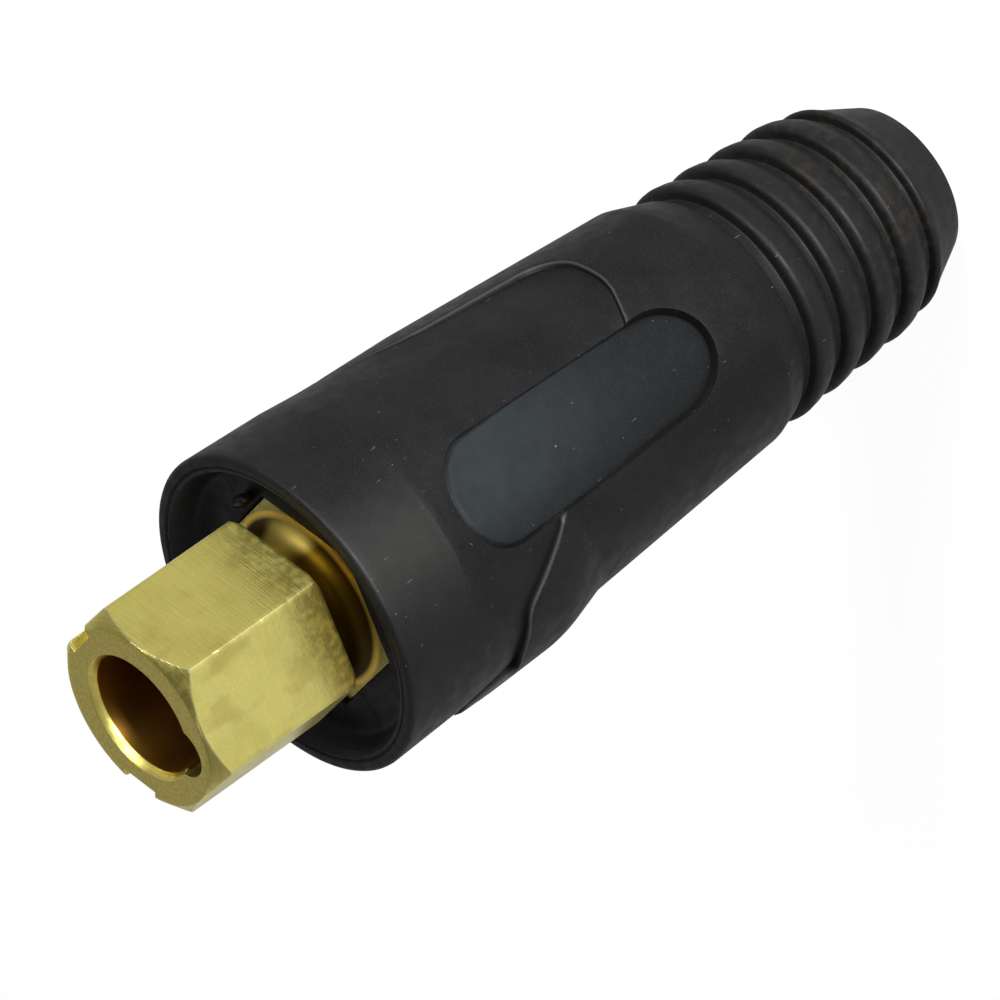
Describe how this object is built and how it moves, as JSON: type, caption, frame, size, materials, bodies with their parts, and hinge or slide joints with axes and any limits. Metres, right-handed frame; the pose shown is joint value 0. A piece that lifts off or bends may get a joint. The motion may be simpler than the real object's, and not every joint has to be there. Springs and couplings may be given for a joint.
{
  "type": "welding cable plug",
  "caption": "Welding cable coupling half: a black rubber sleeve with a ribbed boot round a hexagonal brass contact with a bored pin socket.",
  "frame": {"origin": "centre of the boot end that the plug stands on", "axes": "+Z along the plug from the boot end to the contact's face; the mould parts along the XZ plane, and the oval pads face -Y and +Y"},
  "size_m": [0.0356, 0.0356, 0.106],
  "materials": {
    "sleeve_rubber": "satin moulded black rubber, fine grain, light dust on the ribs",
    "contact_brass": "milled hexagonal brass bar, satin flats with fine cross lines, polished turned neck",
    "screw_steel": "zinc plated steel",
    "ferrule_copper": "bright drawn copper"
  },
  "bodies": {
    "sleeve": {"rubber_sleeve": "sleeve_rubber"},
    "contact": {"brass_contact": "contact_brass", "clamp_screws": "screw_steel", "cable_ferrule": "ferrule_copper"}
  },
  "joints": [
    {"name": "contact_slide", "type": "slide", "parent": "sleeve", "child": "contact", "axis": [0, 0, 1], "range_m": [0, 0.036]}
  ]
}
